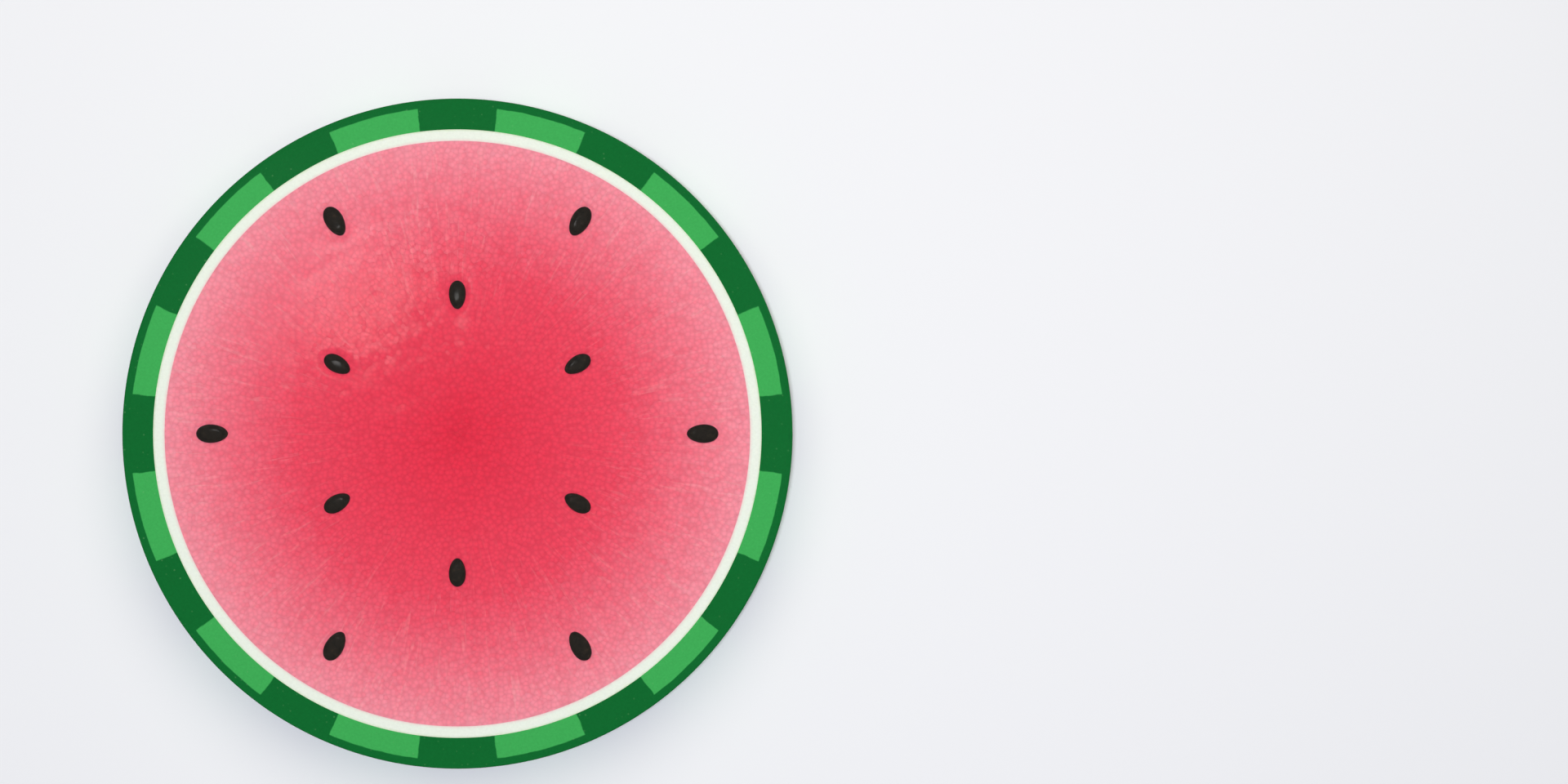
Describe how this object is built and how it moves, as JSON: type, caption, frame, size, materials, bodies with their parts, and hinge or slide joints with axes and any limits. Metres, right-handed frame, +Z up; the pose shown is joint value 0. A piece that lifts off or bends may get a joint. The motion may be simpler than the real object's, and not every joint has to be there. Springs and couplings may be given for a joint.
{
  "type": "watermelon round slice",
  "caption": "Full round slice cut straight across a watermelon, lying flat: green rind, thin pale pith, and red flesh with rings of seeds showing in the cut faces.",
  "frame": {"origin": "centre of the lower cut face, on the surface that the slice lies on", "axes": "+Z up, along the fruit's own axis from blossom end to stem end; +X through one seed of the outer ring on the upper cut face"},
  "size_m": [0.24, 0.24, 0.026],
  "materials": {
    "rind": "satin",
    "pith": "matte",
    "flesh": "satin",
    "seed": "gloss"
  },
  "bodies": {
    "root": {"rind": "rind", "pith": "pith", "flesh_with_seeds": "flesh"}
  },
  "joints": []
}
